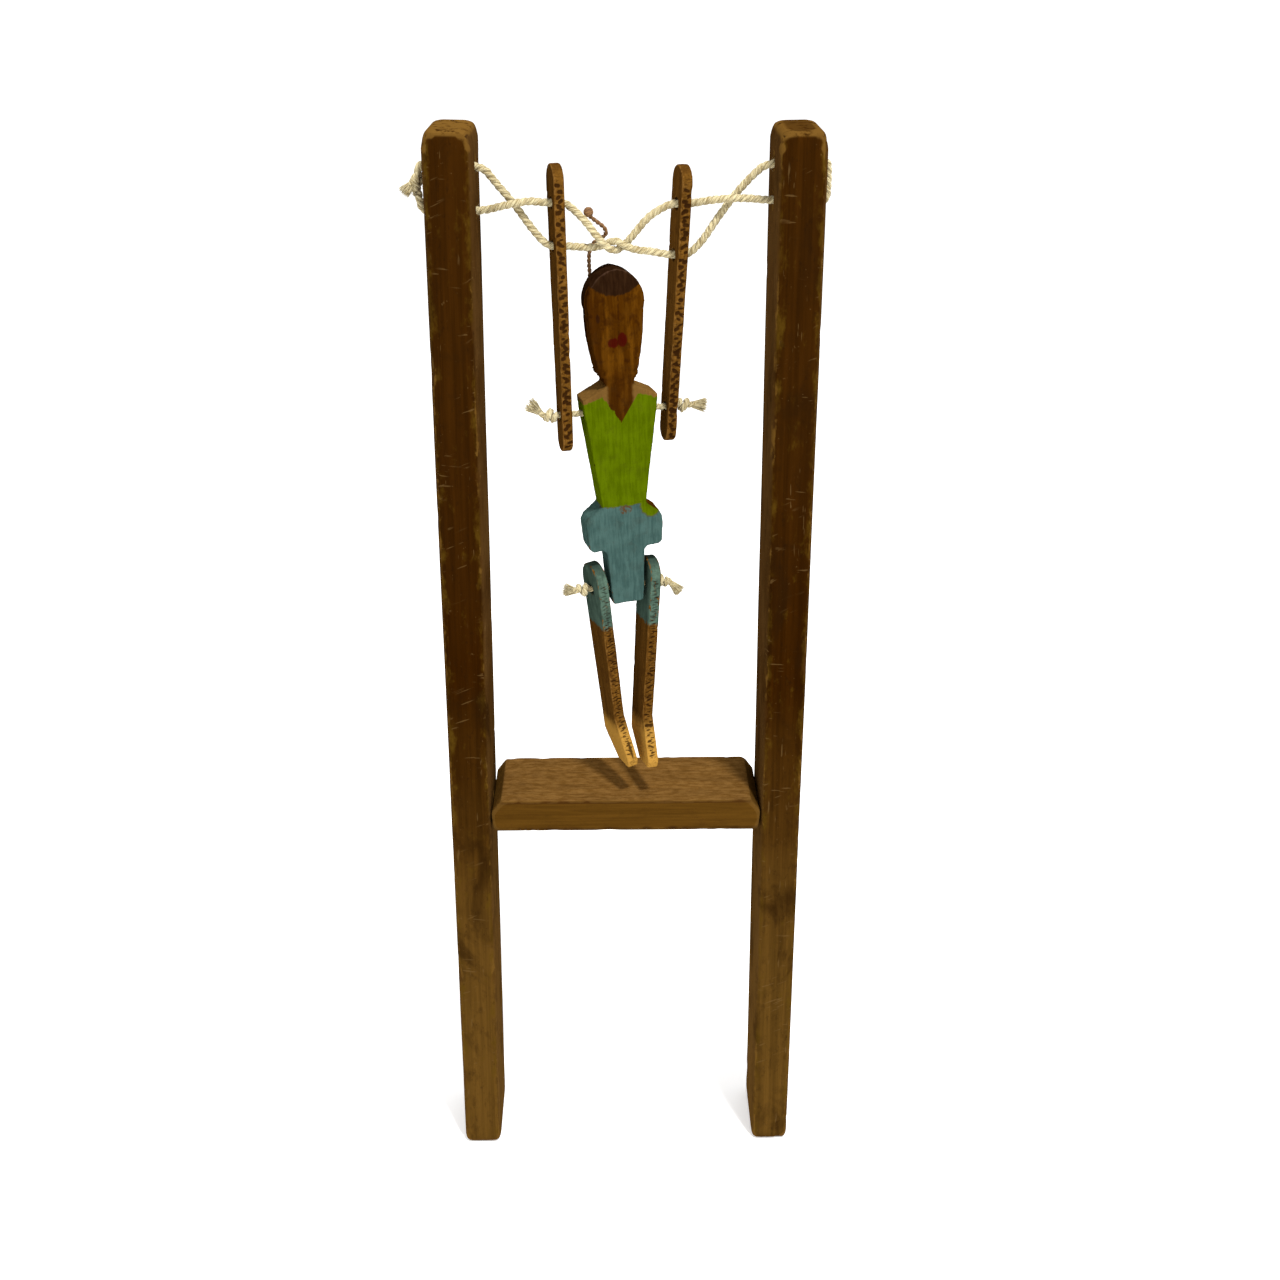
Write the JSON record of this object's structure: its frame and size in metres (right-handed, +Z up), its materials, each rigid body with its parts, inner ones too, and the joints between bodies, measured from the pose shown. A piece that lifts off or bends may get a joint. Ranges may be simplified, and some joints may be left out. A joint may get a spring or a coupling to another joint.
{
  "type": "acrobat squeeze toy",
  "caption": "Wooden squeeze toy: a jointed flat acrobat hangs on twisted cord between two uprights that pivot on a crossbar.",
  "frame": {"origin": "on the floor, midway between the two uprights", "axes": "+Z up along the uprights, +X from the left upright to the right one, the acrobat faces -Y"},
  "size_m": [0.1004, 0.0228, 0.2999],
  "materials": {
    "post_wood": "dark varnished softwood, worn",
    "bar_wood": "bare and worn wood",
    "nail_steel": "dull wire nail",
    "cotton_cord": "twisted cotton cord",
    "limb_wood": "thin sawn strip, pitted edges",
    "leg_paint": "thin sawn strip, painted above the knee",
    "body_paint": "painted sawn board",
    "tail_cord": "thin brown thread"
  },
  "bodies": {
    "frame": {"crossbar": "bar_wood", "bar_nails": "nail_steel", "cord_left_span": "cotton_cord", "cord_right_span": "cotton_cord"},
    "left_upright": {"left_post": "post_wood", "cord_end_knot": "cotton_cord"},
    "right_upright": {"right_post": "post_wood", "cord_outer_loop": "cotton_cord"},
    "arms": {"left_arm": "limb_wood", "right_arm": "limb_wood", "cord_middle_span": "cotton_cord", "shoulder_cord": "cotton_cord"},
    "torso": {"acrobat_body": "body_paint", "hip_cord": "cotton_cord", "hair_tail": "tail_cord"},
    "leg_left": {"left_leg": "leg_paint"},
    "leg_right": {"right_leg": "leg_paint"}
  },
  "joints": [
    {"name": "squeeze_left", "type": "hinge", "parent": "frame", "child": "left_upright", "pos_m": [-0.03684, 0, 0.1223], "axis": [0, 1, 0], "range_deg": [-1.7, 1]},
    {"name": "squeeze_right", "type": "hinge", "parent": "frame", "child": "right_upright", "pos_m": [0.03684, 0, 0.1223], "axis": [0, 1, 0], "range_deg": [-1, 1.7]},
    {"name": "swing", "type": "hinge", "parent": "frame", "child": "arms", "pos_m": [0, 0, 0.278], "axis": [1, 0, 0], "continuous": true, "deforming": ["cord_left_span", "cord_right_span"]},
    {"name": "shoulders", "type": "hinge", "parent": "arms", "child": "torso", "pos_m": [-0.0019, 0, 0.2336], "axis": [0.9659, 0.2588, 0], "range_deg": [-110, 110], "deforming": ["hair_tail"]},
    {"name": "left_hip", "type": "hinge", "parent": "torso", "child": "leg_left", "pos_m": [-0.0075, -0.00194, 0.1865], "axis": [0.9659, 0.2588, 0], "range_deg": [-95, 95]},
    {"name": "right_hip", "type": "hinge", "parent": "torso", "child": "leg_right", "pos_m": [0.00612, 0.00171, 0.1865], "axis": [0.9659, 0.2588, 0], "range_deg": [-95, 95]}
  ],
  "couplings": [
    {"joint": "squeeze_right", "follows": "squeeze_left", "ratio": -1}
  ]
}
